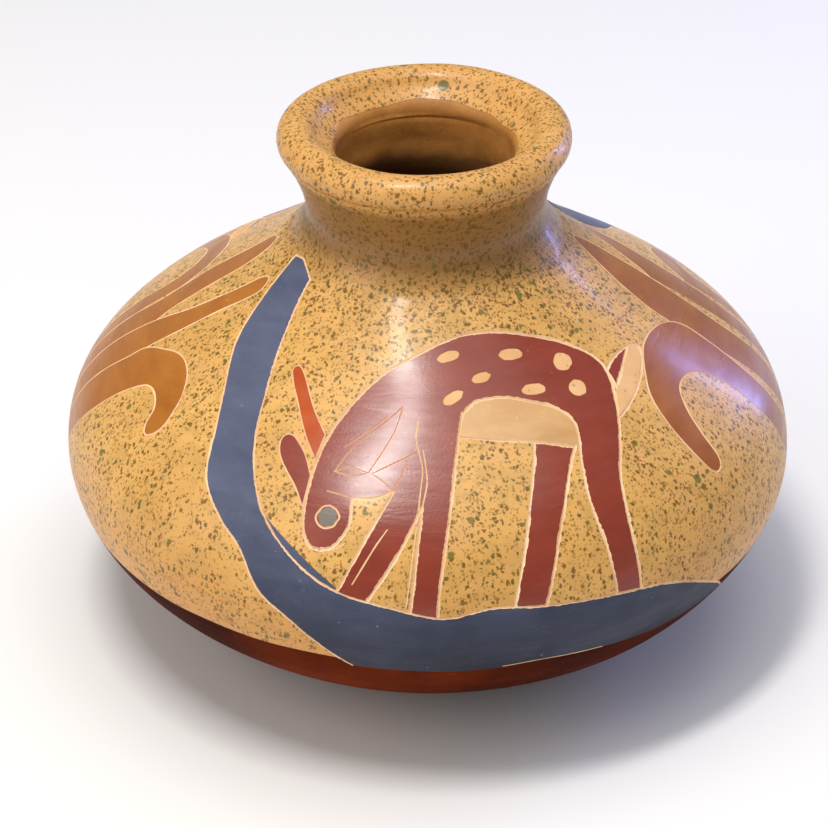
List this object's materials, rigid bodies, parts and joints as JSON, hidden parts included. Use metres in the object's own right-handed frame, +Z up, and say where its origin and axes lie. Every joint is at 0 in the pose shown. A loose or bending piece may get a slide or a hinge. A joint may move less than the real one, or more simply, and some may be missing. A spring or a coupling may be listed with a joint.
{
  "type": "earthenware vase",
  "caption": "Wide-shouldered earthenware vase with a short flared neck and rolled lip, burnished slip finish with incised outlines; holds flowers or stands as an ornament.",
  "frame": {"origin": "middle of the foot's flat underside", "axes": "+Z up along the axis of the vase, -Y towards the main painted panel, +X to the right of it"},
  "size_m": [0.19, 0.19, 0.1394],
  "materials": {
    "speckled_slip": "burnished and waxed, ochre with fine dark speckles",
    "underside_slip": "burnished and waxed, dark red-brown",
    "raw_clay": "unburnished fired clay",
    "maroon_slip": "burnished and waxed, maroon",
    "blue_slip": "burnished and waxed, blue-grey",
    "brown_slip": "burnished and waxed, golden brown",
    "orange_slip": "burnished and waxed, orange",
    "buff_slip": "burnished and waxed, plain buff",
    "incised_clay": "bare clay in the cut lines, matte"
  },
  "bodies": {
    "root": {"foot_disc": "underside_slip", "lower_wall": "underside_slip", "shoulder": "speckled_slip", "neck_collar": "speckled_slip", "lip_roll": "speckled_slip", "foot_luting_coil": "raw_clay", "belly_luting_coil": "raw_clay", "neck_luting_coil": "raw_clay"}
  },
  "joints": []
}
